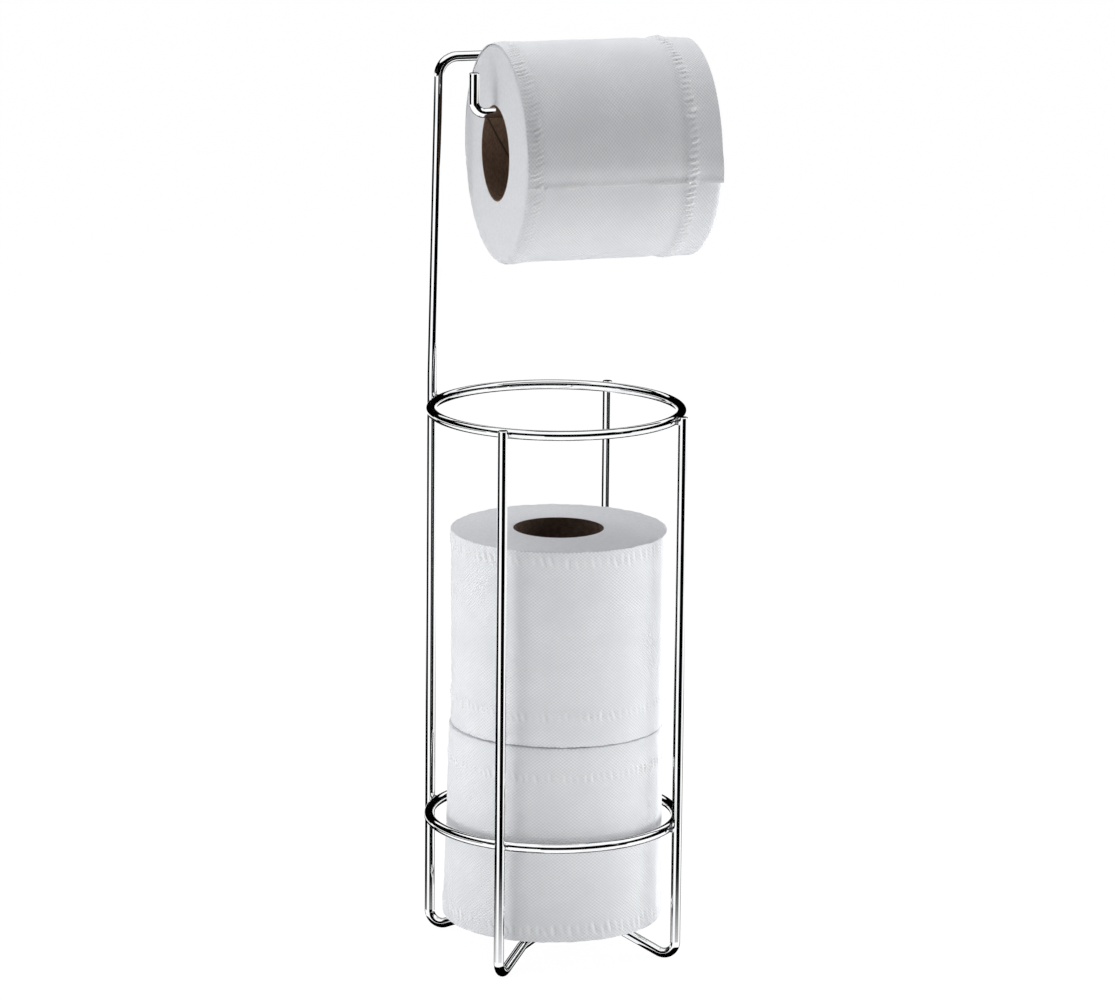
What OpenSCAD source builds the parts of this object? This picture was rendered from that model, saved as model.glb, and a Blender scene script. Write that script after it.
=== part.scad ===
// Free-standing holder for toilet rolls, bent from chromed wire. Four legs carry two rings,
// and together they are a basket for spare rolls. One leg runs on upwards as the mast, and
// its open hook carries the roll in use above the basket.
//
// Origin: on the floor, on the axis of the basket. +Z is up, and the mast stands on -X.

/* [Wire] */
// Diameter of the wire that every part of the frame is bent from
wire_d = 5; // [4:0.5:6]
// Gap that the welds bridge where two wires meet
weld_gap = 0.2; // [0.1:0.05:0.4]
// Diameter of the bead at each weld
weld_d = 4; // [3:0.1:4.2]

/* [Basket] */
// Centreline diameter of both rings
ring_d = 125.2; // [115:0.2:140]
// Height of the lower ring's centreline
lower_ring_z = 68.2; // [50:0.1:90]
// Height of the upper ring's centreline
upper_ring_z = 277.6; // [220:0.1:280]
// Height at which the three short legs are cut off
leg_top_z = 279.8; // [222:0.1:284]
// Centreline radius of the bends at the feet and along the floor wires
foot_bend_r = 6.5; // [5:0.5:8]
// Centreline height of the level stretch that the rolls stand on
bearer_z = 14.3; // [12:0.1:20]
// Length of the level stretch in the wire that the rolls stand on
bearer_level_w = 64; // [50:1:76]
// Length of the level stretch in the wire that crosses under it
cross_level_w = 76; // [50:1:80]

/* [Mast and hook] */
// Centreline height of the hook's upper run
upper_run_z = 450.2; // [430:0.1:480]
// Centreline height of the hook's lower run, which carries the roll
roll_bar_z = 428.1; // [400:0.1:460]
// Direction of the hook, turned from +X towards +Y
hook_angle = 40; // [30:1:50]
// How far the mast leans along the hook at its head
mast_lean = 3; // [1:0.5:6]
// Height at which the mast starts to lean
lean_start_z = 290; // [285:1:330]
// Centreline radius of the bend at the head of the mast
mast_bend_r = 9.5; // [6:0.5:15]
// Distance along the hook from the basket's axis to its closed end
hook_reach = 75.3; // [74:0.1:90]
// Centreline radius of the two bends at the closed end
hook_bend_r = 8; // [5:0.5:12]
// Distance along the hook from the basket's axis back to the upturned tip
tip_reach = 43.8; // [42:0.1:48]
// Centreline radius of the bend under the tip
tip_bend_r = 5.7; // [4:0.1:8]
// Height of the tip's cut end above the centreline of the lower run
tip_rise = 20; // [12:0.5:30]
// How much bending thickens the wire, measured on its radius
bend_swell = 0.02; // [0.01:0.01:0.05]

/* [Rolls] */
// Width of a roll
roll_w = 100; // [90:1:101]
// Outer diameter of the roll on the hook, without its loose end
hung_roll_d = 108.8; // [90:0.2:111]
// Outer diameter of the upper roll in the basket
upper_roll_d = 108.4; // [90:0.2:114]
// Outer diameter of the lower roll in the basket
lower_roll_d = 110; // [90:0.2:118]
// Bore of the core in the roll on the hook
hung_core_d = 45.8; // [38:0.2:50]
// Bore of the cores in the basket
spare_core_d = 44; // [38:0.2:50]
// Wall of a cardboard core
core_wall = 0.8; // [0.5:0.1:1.5]
// How far the loose end of the sheet stands off its roll
loose_sheet_t = 0.8; // [0.5:0.1:1.5]
// How far below the level the loose end is cut on the front of the roll, in degrees
loose_end_angle = 10; // [0:1:60]
// Arc of the roll that the loose sheet covers
loose_arc = 200; // [60:5:300]
// Distance along the hook from the basket's axis to the middle of the hung roll
hung_roll_x = 17.3; // [16:0.1:19]
// How far the upper roll stands off the basket's axis along X
upper_roll_x = 1.6; // [0:0.1:2]
// How far the upper roll stands off the basket's axis along Y
upper_roll_y = 0.7; // [0:0.1:2]
// Gap left between a roll and what it rests on
rest_gap = 0.2; // [0.1:0.05:0.5]

/* [Hidden] */
$fn = 64;
// Circle steps of the rings, which are large against the beads that are cut to them
ring_steps = 256;

wire_r = wire_d / 2;
ring_r = ring_d / 2;
leg_r = ring_r + wire_d + weld_gap;
foot_z = wire_r + bend_swell;

// How far each straight run reaches into the thicker bend that it ends in
bend_bite = 0.3;

// The bearer runs from leg to leg along X, and the cross wire passes under it along Y
cross_z = bearer_z - wire_d - weld_gap;

// Radius of the slight bend at which the mast starts to lean
lean_bend_r = 100;

// How far a cutting shape runs past the solid that it cuts
cut_margin = 1;

// Directions along the hook and square to it
hook_dir = [cos(hook_angle), sin(hook_angle), 0];
hook_side = [-sin(hook_angle), cos(hook_angle), 0];
mast_foot = [-leg_r, 0, 0];
mast_side = mast_foot * hook_side;
mast_head = mast_foot + mast_lean * hook_dir + [0, 0, upper_run_z];

// The bore of the hung roll rests on top of the hook's lower run
hung_axis_z = roll_bar_z + wire_r + rest_gap - hung_core_d / 2;
lower_roll_z = bearer_z + wire_r + rest_gap;
upper_roll_z = lower_roll_z + roll_w + rest_gap;

wire_colour = [0.86, 0.87, 0.88];
paper_colour = [0.93, 0.93, 0.95];
core_colour = [0.40, 0.31, 0.25];

function unit(v) = v / norm(v);

// Point given by its distance along the hook, beside it and above the floor
function on_hook(along, side, z) = along * hook_dir + side * hook_side + [0, 0, z];

// Length of straight wire that a bend of radius r takes up on each side of its corner
function bend_length(a, b, r) = r * tan(acos(a * b) / 2);

// Slope of the straight wire that rises from a foot bend to a level stretch. The line
// touches the circle of the foot bend and passes the end of the level stretch.
function foot_slope(level_w, level_z) =
    let(
        run = leg_r - foot_bend_r - level_w / 2,
        rise = level_z - foot_z - foot_bend_r
    )
    asin(foot_bend_r / norm([run, rise])) + atan2(rise, run);

// Height at which that line meets the line of the leg
function foot_corner_z(level_w, level_z) =
    level_z - (leg_r - level_w / 2) * tan(foot_slope(level_w, level_z));

// Corners of a wire from one foot to the other along X, the feet included
function floor_run(level_w, level_z) = [
    [-leg_r, 0, foot_corner_z(level_w, level_z)],
    [-level_w / 2, 0, level_z],
    [level_w / 2, 0, level_z],
    [leg_r, 0, foot_corner_z(level_w, level_z)]
];

// Puts the children's origin at a point and their axes along the given directions
module place(at, x, y, z) {
    multmatrix([
        [x.x, y.x, z.x, at.x],
        [x.y, y.y, z.y, at.y],
        [x.z, y.z, z.z, at.z],
        [0, 0, 0, 1]
    ]) children();
}

// Straight wire from p to q
module rod(p, q) {
    z = unit(q - p);
    helper = abs(z.z) < 0.9 ? [0, 0, 1] : [1, 0, 0];
    x = unit(cross(helper, z));
    place(p, x, cross(z, x), z) cylinder(d = wire_d, h = norm(q - p));
}

// Bend of radius r at a corner, from direction a to direction b
module bend(corner, a, b, r) {
    inward = unit(b - a * (a * b));
    start = corner - a * bend_length(a, b, r);
    place(start + inward * r, -inward, a, cross(a, inward))
        rotate_extrude(angle = acos(a * b)) translate([r, 0]) circle(r = wire_r + bend_swell);
}

// One wire through the points, with one bend radius for each inner point
module bent_wire(points, radii) {
    dirs = [for (i = [1 : len(points) - 1]) unit(points[i] - points[i - 1])];
    last = len(dirs) - 1;
    cuts = [for (i = [0 : last - 1]) bend_length(dirs[i], dirs[i + 1], radii[i])];
    for (i = [0 : last]) {
        cut_before = i == 0 ? 0 : cuts[i - 1] - bend_bite;
        cut_after = i == last ? 0 : cuts[i] - bend_bite;
        rod(points[i] + dirs[i] * cut_before, points[i + 1] - dirs[i] * cut_after);
    }
    for (i = [0 : last - 1]) {
        bend(points[i + 1], dirs[i], dirs[i + 1], radii[i]);
    }
}

module ring(z) {
    translate([0, 0, z])
        rotate_extrude($fn = ring_steps) translate([ring_r, 0]) circle(d = wire_d);
}

// Weld bead in the notch between a ring and the leg that stands outside it
module ring_bead(z) {
    difference() {
        translate([ring_r, 0, z]) rotate([0, 90, 0]) cylinder(d = weld_d, h = leg_r - ring_r);
        ring(z);
        translate([leg_r, 0, z - wire_d]) cylinder(d = wire_d, h = 2 * wire_d);
    }
}

module ring_beads(z) {
    for (quarter = [0 : 3]) {
        rotate([0, 0, quarter * 90]) ring_bead(z);
    }
}

// Tube along +Z, which is a core or the paper wound on it
module tube(outer_d, bore_d) {
    difference() {
        cylinder(d = outer_d, h = roll_w);
        translate([0, 0, -cut_margin]) cylinder(d = bore_d, h = roll_w + 2 * cut_margin);
    }
}

module core(bore_d) {
    color(core_colour) tube(bore_d + 2 * core_wall, bore_d);
}

module paper(outer_d, bore_d) {
    tube(outer_d, bore_d + 2 * core_wall);
}

// Children stand on end in the roll's own frame: the hung roll's X points away from the
// front, its Y points up, and its Z runs along the hook
module at_hung_roll() {
    place(on_hook(hung_roll_x - roll_w / 2, 0, hung_axis_z), hook_side, [0, 0, 1], hook_dir)
        children();
}

module at_upper_roll() {
    translate([upper_roll_x, upper_roll_y, upper_roll_z]) children();
}

module at_lower_roll() {
    translate([0, 0, lower_roll_z]) children();
}

// The one wire that is hook, mast, floor bearer and right leg
module mast_wire() {
    hook_points = [
        on_hook(-tip_reach, 0, roll_bar_z + tip_rise),
        on_hook(-tip_reach, 0, roll_bar_z),
        on_hook(hook_reach, 0, roll_bar_z),
        on_hook(hook_reach, mast_side, upper_run_z),
        mast_head,
        mast_foot + [0, 0, lean_start_z]
    ];
    hook_radii = [tip_bend_r, hook_bend_r, hook_bend_r, mast_bend_r, lean_bend_r];
    floor_radii = [foot_bend_r, foot_bend_r, foot_bend_r, foot_bend_r];
    color(wire_colour) bent_wire(
        concat(hook_points, floor_run(bearer_level_w, bearer_z), [[leg_r, 0, leg_top_z]]),
        concat(hook_radii, floor_radii)
    );
}

// The wire that is the front leg, the lower floor wire and the back leg
module cross_wire() {
    ends = [[-leg_r, 0, leg_top_z], [leg_r, 0, leg_top_z]];
    floor_radii = [foot_bend_r, foot_bend_r, foot_bend_r, foot_bend_r];
    color(wire_colour) rotate([0, 0, 90]) bent_wire(
        concat([ends[0]], floor_run(cross_level_w, cross_z), [ends[1]]),
        floor_radii
    );
}

module upper_ring() {
    color(wire_colour) ring(upper_ring_z);
}

module lower_ring() {
    color(wire_colour) ring(lower_ring_z);
}

module upper_ring_welds() {
    color(wire_colour) ring_beads(upper_ring_z);
}

module lower_ring_welds() {
    color(wire_colour) ring_beads(lower_ring_z);
}

// Weld bead between the two floor wires where they cross
module floor_weld() {
    color(wire_colour) difference() {
        translate([0, 0, cross_z]) cylinder(d = weld_d, h = bearer_z - cross_z);
        rod([-wire_d, 0, bearer_z], [wire_d, 0, bearer_z]);
        rod([0, -wire_d, cross_z], [0, wire_d, cross_z]);
    }
}

module hung_roll_core() {
    at_hung_roll() core(hung_core_d);
}

// Paper of the hung roll, with the loose sheet that comes over the top to the front
module hung_roll_paper() {
    front_level = 180;
    start_angle = front_level + loose_end_angle - loose_arc;
    sheet_r = hung_roll_d / 2;
    color(paper_colour) at_hung_roll() {
        paper(hung_roll_d, hung_core_d);
        rotate([0, 0, start_angle]) rotate_extrude(angle = loose_arc)
            translate([sheet_r - cut_margin, 0]) square([cut_margin + loose_sheet_t, roll_w]);
    }
}

module upper_roll_core() {
    at_upper_roll() core(spare_core_d);
}

module upper_roll_paper() {
    color(paper_colour) at_upper_roll() paper(upper_roll_d, spare_core_d);
}

module lower_roll_core() {
    at_lower_roll() core(spare_core_d);
}

module lower_roll_paper() {
    color(paper_colour) at_lower_roll() paper(lower_roll_d, spare_core_d);
}

mast_wire();
cross_wire();
upper_ring();
lower_ring();
upper_ring_welds();
lower_ring_welds();
floor_weld();
hung_roll_core();
hung_roll_paper();
upper_roll_core();
upper_roll_paper();
lower_roll_core();
lower_roll_paper();
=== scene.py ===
"""Looks of the free-standing holder for toilet rolls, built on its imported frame.

The holder is bent from chromed wire. Two spare rolls stand in its basket and one roll hangs
on its hook. Lengths are given in millimetres and made metres as a piece is modelled.
"""

import logging
import math
from dataclasses import dataclass, field, replace
from enum import Enum

import bpy
import numpy as np
from mathutils import Matrix, Vector


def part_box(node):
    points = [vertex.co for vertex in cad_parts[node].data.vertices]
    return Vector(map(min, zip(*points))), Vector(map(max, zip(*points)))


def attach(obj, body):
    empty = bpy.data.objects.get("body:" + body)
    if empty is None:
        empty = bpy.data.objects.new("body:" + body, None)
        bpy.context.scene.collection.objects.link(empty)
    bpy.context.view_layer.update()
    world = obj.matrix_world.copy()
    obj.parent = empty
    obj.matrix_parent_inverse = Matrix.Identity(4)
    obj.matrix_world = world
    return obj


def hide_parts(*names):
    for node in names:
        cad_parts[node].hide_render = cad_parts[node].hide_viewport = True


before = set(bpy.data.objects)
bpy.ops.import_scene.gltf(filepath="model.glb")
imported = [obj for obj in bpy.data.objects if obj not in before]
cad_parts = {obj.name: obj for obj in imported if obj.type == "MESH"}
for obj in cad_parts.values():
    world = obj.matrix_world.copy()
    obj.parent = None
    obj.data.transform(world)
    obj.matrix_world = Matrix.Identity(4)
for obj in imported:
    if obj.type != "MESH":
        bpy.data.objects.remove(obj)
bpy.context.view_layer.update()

log = logging.getLogger("roll_holder")

MM = 0.001
FULL_TURN = 2 * math.pi
SHEET_MAP = "wrap"
# Layer whose values the sheet's finish paints as highlight and shade
PAINTED_LIGHT_LAYER = "crimp_painted_light"

# Sizes of the stand, as its drawing gives them
WIRE_R = 2.5
LEG_R = 67.8
RING_R = 62.6
LOWER_RING_Z = 68.2
UPPER_RING_Z = 277.6
LEG_TOP_Z = 279.8
FOOT_Z = 2.52
FOOT_BEND_R = 6.5
HOOK_ANGLE = math.radians(40)
HOOK_DIR = Vector((math.cos(HOOK_ANGLE), math.sin(HOOK_ANGLE), 0))
HOOK_SIDE = Vector((-math.sin(HOOK_ANGLE), math.cos(HOOK_ANGLE), 0))
ROLL_BAR_Z = 428.1
UPPER_RUN_Z = 450.2
HUNG_ROLL_ALONG = 17.3
HUNG_AXIS_Z = 407.9
ROLL_W = 100.0

# Girth of a core and rise of its spiral seam in one turn, which its shape and its finish share
CORE_GIRTH = 144.0
SEAM_LEAD = 83.4

Colour = tuple[float, float, float, float]
Profile = list[tuple[float, float]]
Limits = tuple[float, float]
Value = bpy.types.NodeSocket | float


class Body(Enum):
    """The moving bodies that pieces ride on."""

    FRAME = "frame"
    HUNG_ROLL = "hung_roll"
    UPPER_ROLL = "upper_roll"
    LOWER_ROLL = "lower_roll"


class Slot(Enum):
    """The record's material slots."""

    WIRE = "wire"
    PAPER = "paper"
    CORE = "core"


class Lie(Enum):
    """Which way a roll lies in its own frame."""

    UPRIGHT = "upright"
    UPSIDE_DOWN = "upside_down"


def on_hook(along: float, side: float, z: float) -> Vector:
    """Gives a point by its distance along the hook, beside it and above the floor.

    Args:
        along: Distance along the hook from the basket's axis.
        side: Distance square to the hook, towards the back.
        z: Height above the floor.

    Returns:
        The point in millimetres.
    """
    return HOOK_DIR * along + HOOK_SIDE * side + Vector((0, 0, z))


def smooth_step(low: float, high: float, x: np.ndarray) -> np.ndarray:
    """Rises smoothly from 0 at low to 1 at high.

    Args:
        low: Value at which the step starts.
        high: Value at which the step ends.
        x: The values to step.

    Returns:
        The step for each value.
    """
    t = np.clip((x - low) / (high - low), 0, 1)
    return t * t * (3 - 2 * t)


def read_points(mesh: bpy.types.Mesh) -> np.ndarray:
    """Gives a mesh's points in millimetres, one to a row."""
    co = np.empty(len(mesh.vertices) * 3)
    mesh.vertices.foreach_get("co", co)
    return co.reshape(-1, 3) / MM


def write_points(mesh: bpy.types.Mesh, co: np.ndarray) -> None:
    """Puts points in millimetres back into their mesh."""
    mesh.vertices.foreach_set("co", (co * MM).ravel())


def wrapped_quads(mesh: bpy.types.Mesh) -> tuple[np.ndarray, np.ndarray]:
    """Gives the corners of a round piece's faces, which all have four.

    Args:
        mesh: The piece's mesh, in its own frame.

    Returns:
        The corners' points, and their angles, which don't jump inside a face.
    """
    corner = np.empty(len(mesh.loops), dtype=int)
    mesh.loops.foreach_get("vertex_index", corner)
    quads = read_points(mesh)[corner].reshape(-1, 4, 3)
    angle = np.arctan2(quads[:, :, 1], quads[:, :, 0]) % FULL_TURN
    wide = angle.max(1) - angle.min(1) > math.pi
    angle[wide] = np.where(angle[wide] < math.pi, angle[wide] + FULL_TURN, angle[wide])
    return quads, angle


def write_map(mesh: bpy.types.Mesh, around: np.ndarray, along: np.ndarray) -> None:
    """Writes a piece's map from its faces' corners, in millimetres."""
    uv = np.stack((around, along), axis=2)
    mesh.uv_layers.new(name=SHEET_MAP).data.foreach_set("uv", uv.ravel())


def write_painted_light(mesh: bpy.types.Mesh, lift: np.ndarray) -> None:
    """Writes how far each point is pressed up, which the sheet's finish paints as highlight on
    ridges and shade in dents.
    """
    mesh.attributes.new(PAINTED_LIGHT_LAYER, "FLOAT", "POINT").data.foreach_set("value", lift)


class Bench:
    """The workbench, where a primitive is added and shaped in edit mode."""

    @staticmethod
    def clear() -> None:
        """Leaves nothing selected, the frame's own nodes included."""
        if bpy.context.object and bpy.context.object.mode != "OBJECT":
            bpy.ops.object.mode_set(mode="OBJECT")
        bpy.ops.object.select_all(action="DESELECT")

    @classmethod
    def pick(cls, *pieces: bpy.types.Object) -> None:
        """Selects pieces alone and makes the last one active."""
        cls.clear()
        for piece in pieces:
            piece.select_set(True)
            bpy.context.view_layer.objects.active = piece

    @staticmethod
    def settle(name: str) -> bpy.types.Object:
        """Names the new primitive, moves its place into its mesh and opens it for editing.

        Args:
            name: Name of the piece.

        Returns:
            The object, in edit mode and selected all over.
        """
        piece = bpy.context.object
        piece.name = piece.data.name = name
        bpy.ops.object.transform_apply(location=True, rotation=True, scale=True)
        bpy.ops.object.mode_set(mode="EDIT")
        bpy.ops.mesh.select_mode(type="VERT")
        bpy.ops.mesh.select_all(action="SELECT")
        return piece

    @classmethod
    def start_point(cls, name: str, at: Vector) -> bpy.types.Object:
        """Starts a piece from a small square that is merged to its middle.

        Args:
            name: Name of the piece.
            at: The point in millimetres.

        Returns:
            The object, in edit mode with its one point selected.
        """
        cls.clear()
        bpy.ops.mesh.primitive_plane_add(size=MM, location=at * MM)
        piece = cls.settle(name)
        bpy.ops.mesh.merge(type="CENTER")
        return piece

    @classmethod
    def start_circle(
        cls, name: str, at: Vector, facing: Vector, radius: float, sides: int
    ) -> bpy.types.Object:
        """Starts a piece from a circle that faces along a direction.

        Args:
            name: Name of the piece.
            at: Middle of the circle in millimetres.
            facing: Direction that the circle is square to.
            radius: Its radius in millimetres.
            sides: Number of its edges.

        Returns:
            The object, in edit mode with the circle selected.
        """
        cls.clear()
        bpy.ops.mesh.primitive_circle_add(
            vertices=sides,
            radius=radius * MM,
            fill_type="NOTHING",
            location=at * MM,
            rotation=facing.to_track_quat("Z", "Y").to_euler(),
        )
        return cls.settle(name)

    @staticmethod
    def extrude(step: Vector) -> None:
        """Extrudes the selected outline by a step in millimetres."""
        bpy.ops.mesh.extrude_region_move(TRANSFORM_OT_translate={"value": step * MM})

    @staticmethod
    def resize(factor: float, middle: Vector) -> None:
        """Scales what is selected about a point in millimetres."""
        bpy.ops.transform.resize(value=(factor,) * 3, center_override=middle * MM)

    @staticmethod
    def draw(profile: Profile) -> None:
        """Draws a line of edges from the selected point through the rest of a profile.

        Args:
            profile: Points as distance from the Z axis and height, the first one drawn.
        """
        for (r0, z0), (r1, z1) in zip(profile, profile[1:]):
            step = Vector((r1 - r0, 0, z1 - z0)) * MM
            bpy.ops.mesh.extrude_vertices_move(TRANSFORM_OT_translate={"value": step})
        bpy.ops.mesh.select_all(action="SELECT")

    @staticmethod
    def spin(angle: float, steps: int, middle: Vector, axis: Vector) -> None:
        """Spins what is selected. The operator turns left-handed, so its angle is reversed.

        Args:
            angle: Right-handed turn about the axis in radians.
            steps: Number of steps.
            middle: Centre of the turn in millimetres.
            axis: Axis of the turn.
        """
        bpy.ops.mesh.spin(steps=steps, angle=-angle, center=middle * MM, axis=axis)

    @classmethod
    def turn_round(cls, angle: float, steps: int, doublings: int) -> None:
        """Spins one sector about Z and doubles it by copies turned on, which is quicker.

        Args:
            angle: The whole turn in radians.
            steps: Number of steps in the whole turn.
            doublings: How many times the first sector is doubled.
        """
        sector = angle / 2**doublings
        cls.spin(sector, steps // 2**doublings, Vector((0, 0, 0)), Vector((0, 0, 1)))
        for _ in range(doublings):
            bpy.ops.mesh.select_all(action="SELECT")
            bpy.ops.mesh.duplicate()
            bpy.ops.transform.rotate(value=-sector, orient_axis="Z", center_override=(0, 0, 0))
            sector *= 2

    @staticmethod
    def close() -> None:
        """Merges doubles and turns all faces outwards."""
        bpy.ops.mesh.select_all(action="SELECT")
        bpy.ops.mesh.remove_doubles(threshold=0.00001)
        bpy.ops.mesh.normals_make_consistent(inside=False)
        bpy.ops.object.mode_set(mode="OBJECT")

    @staticmethod
    def smooth(piece: bpy.types.Object, angle: float) -> None:
        """Shades a piece smooth, apart from edges sharper than the angle in degrees."""
        Bench.pick(piece)
        bpy.ops.object.shade_smooth_by_angle(angle=math.radians(angle))


class Graph:
    """A node tree that is filled by short calls."""

    def __init__(self, tree: bpy.types.NodeTree) -> None:
        """Empties the tree."""
        self.tree = tree
        tree.nodes.clear()

    def add(self, kind: str, *inputs: object, **settings: object) -> bpy.types.Node:
        """Adds a node.

        Args:
            kind: The node's type, without the word ShaderNode.
            inputs: A socket to link or a value, for each input in order. None skips one.
            settings: The node's own settings.

        Returns:
            The node.
        """
        full = kind if kind.startswith("Node") else "ShaderNode" + kind
        node = self.tree.nodes.new(full)
        for name, value in settings.items():
            setattr(node, name, value)
        for socket, value in zip(node.inputs, inputs):
            self.feed(socket, value)
        return node

    def feed(self, socket: bpy.types.NodeSocket, value: object) -> None:
        """Links a socket to an input, or sets the input's value. None leaves it alone."""
        if isinstance(value, bpy.types.NodeSocket):
            self.tree.links.new(value, socket)
        elif value is not None:
            socket.default_value = value

    def math(self, operation: str, *inputs: object) -> bpy.types.NodeSocket:
        """Adds a Math node and returns its result."""
        return self.add("Math", *inputs, operation=operation).outputs[0]

    def mix(self, factor: Value, a: object, b: object) -> bpy.types.NodeSocket:
        """Adds a colour Mix node and returns its result."""
        node = self.add("Mix", data_type="RGBA")
        for name, value in (("Factor_Float", factor), ("A_Color", a), ("B_Color", b)):
            socket = next(s for s in node.inputs if s.identifier == name)
            self.feed(socket, value)
        return next(s for s in node.outputs if s.identifier == "Result_Color")

    def span(self, value: Value, *limits: float) -> bpy.types.NodeSocket:
        """Adds a smooth Map Range node from two limits to two others."""
        node = self.add("MapRange", value, *limits, interpolation_type="SMOOTHSTEP")
        return node.outputs[0]

    def noise(self, vector: object, scale: float, detail: float = 2) -> bpy.types.NodeSocket:
        """Adds a Noise Texture and returns its factor."""
        node = self.add("TexNoise")
        for name, value in (("Vector", vector), ("Scale", scale), ("Detail", detail)):
            self.feed(node.inputs[name], value)
        return node.outputs["Fac"]

    def group(self, tree: bpy.types.NodeTree, **values: object) -> bpy.types.Node:
        """Places a node group with its own values."""
        node = self.add("Group", node_tree=tree)
        for name, value in values.items():
            self.feed(node.inputs[name.replace("_", " ")], value)
        return node


class Effects:
    """Effects that more than one finish uses, each built once as a node group."""

    made: dict[str, bpy.types.NodeTree] = {}

    @classmethod
    def start(
        cls, name: str, inputs: dict[str, str], outputs: dict[str, str]
    ) -> tuple[Graph, bpy.types.Node, bpy.types.Node]:
        """Starts a group with named sockets.

        Args:
            name: Name of the group.
            inputs: Kind of each input by its name.
            outputs: Kind of each output by its name.

        Returns:
            The graph, its input node and its output node.
        """
        tree = bpy.data.node_groups.new(name, "ShaderNodeTree")
        for sockets, way in ((inputs, "INPUT"), (outputs, "OUTPUT")):
            for socket, kind in sockets.items():
                tree.interface.new_socket(socket, in_out=way, socket_type="NodeSocket" + kind)
        cls.made[name] = tree
        graph = Graph(tree)
        return graph, graph.add("NodeGroupInput"), graph.add("NodeGroupOutput")

    @classmethod
    def fibres(cls) -> bpy.types.NodeTree:
        """Short matted fibres, as a height and as a mask of the darker ones.

        Returns:
            The node group.
        """
        if "fibres" in cls.made:
            return cls.made["fibres"]
        ins = {"Vector": "Vector", "Scale": "Float", "Stretch": "Float"}
        graph, start, end = cls.start("fibres", ins, {"Height": "Float", "Mask": "Float"})
        place = graph.add("SeparateXYZ", start.outputs["Vector"])
        long = graph.math("DIVIDE", place.outputs[0], start.outputs["Stretch"])
        drawn = graph.add("CombineXYZ", long, place.outputs[1], place.outputs[2]).outputs[0]
        matted = graph.noise(drawn, start.outputs["Scale"], 4)
        wider = graph.math("MULTIPLY", start.outputs["Scale"], 0.23)
        coarse = graph.noise(start.outputs["Vector"], wider)
        height = graph.math("ADD", matted, graph.math("MULTIPLY", coarse, 0.7))
        graph.feed(end.inputs["Height"], height)
        graph.feed(end.inputs["Mask"], graph.span(matted, 0.56, 0.72, 0, 1))
        return cls.made["fibres"]

    @classmethod
    def emboss(cls) -> bpy.types.NodeTree:
        """Staggered rows of short dashes, pressed into the sheet.

        Returns:
            The node group.
        """
        if "emboss" in cls.made:
            return cls.made["emboss"]
        ins = {"Vector": "Vector", "Along": "Float", "Around": "Float"}
        graph, start, end = cls.start("emboss", ins, {"Height": "Float"})
        place = graph.add("SeparateXYZ", start.outputs["Vector"])
        turns = graph.math("DIVIDE", place.outputs[1], start.outputs["Along"])
        rows = graph.math("DIVIDE", place.outputs[0], start.outputs["Around"])
        wave_along = graph.math("COSINE", graph.math("MULTIPLY", turns, FULL_TURN))
        wave_around = graph.math("COSINE", graph.math("MULTIPLY", rows, math.pi))
        narrow = graph.math("MULTIPLY", wave_around, graph.math("ABSOLUTE", wave_around))
        wide = graph.add("Clamp", graph.math("MULTIPLY", wave_along, 1.5), -1.0, 1.0).outputs[0]
        lattice = graph.math("MULTIPLY", wide, narrow)
        graph.feed(end.inputs["Height"], graph.math("MULTIPLY_ADD", lattice, 0.5, 0.5))
        return cls.made["emboss"]


class Finish:
    """A material and the graph that fills it. The bump's depth is in millimetres."""

    name: str
    bump_strength: float
    bump_depth: float

    def open(self) -> tuple[bpy.types.Material, Graph, bpy.types.Node]:
        """Makes the material with its Principled shader and output.

        Returns:
            The material, its graph and the shader.
        """
        material = bpy.data.materials.new(self.name)
        material.use_nodes = True
        graph = Graph(material.node_tree)
        shader = graph.add("BsdfPrincipled")
        graph.add("OutputMaterial", shader.outputs[0])
        return material, graph, shader

    def bump(self, graph: Graph, shader: bpy.types.Node, height: bpy.types.NodeSocket) -> None:
        """Bumps the surface by a height.

        Args:
            graph: The material's graph.
            shader: Its shader.
            height: The height, from 0 to about 1.
        """
        node = graph.add("Bump")
        node.inputs["Strength"].default_value = self.bump_strength
        node.inputs["Distance"].default_value = self.bump_depth * MM
        graph.feed(node.inputs["Height"], height)
        graph.feed(shader.inputs["Normal"], node.outputs[0])


@dataclass(frozen=True)
class Chrome(Finish):
    """Bright chrome plate on drawn wire, with faint smudges."""

    name: str = "chrome_plate"
    bright: Colour = (0.95, 0.955, 0.965, 1)
    dull: Colour = (0.86, 0.87, 0.885, 1)
    polish: float = 0.014
    smudge: float = 0.05
    smudge_scale: float = 34
    drawn_scale: float = 900
    bump_strength: float = 0.02
    bump_depth: float = 0.03

    def make(self) -> bpy.types.Material:
        """Builds the material.

        Returns:
            The material.
        """
        material, graph, shader = self.open()
        place = graph.add("TexCoord").outputs["Object"]
        smudges = graph.span(graph.noise(place, self.smudge_scale, 5), 0.5, 0.72, 0, 1)
        graph.feed(shader.inputs["Base Color"], graph.mix(smudges, self.bright, self.dull))
        shader.inputs["Metallic"].default_value = 1
        rough = graph.math("MULTIPLY_ADD", smudges, self.smudge - self.polish, self.polish)
        graph.feed(shader.inputs["Roughness"], rough)
        self.bump(graph, shader, graph.noise(place, self.drawn_scale))
        return material


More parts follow.
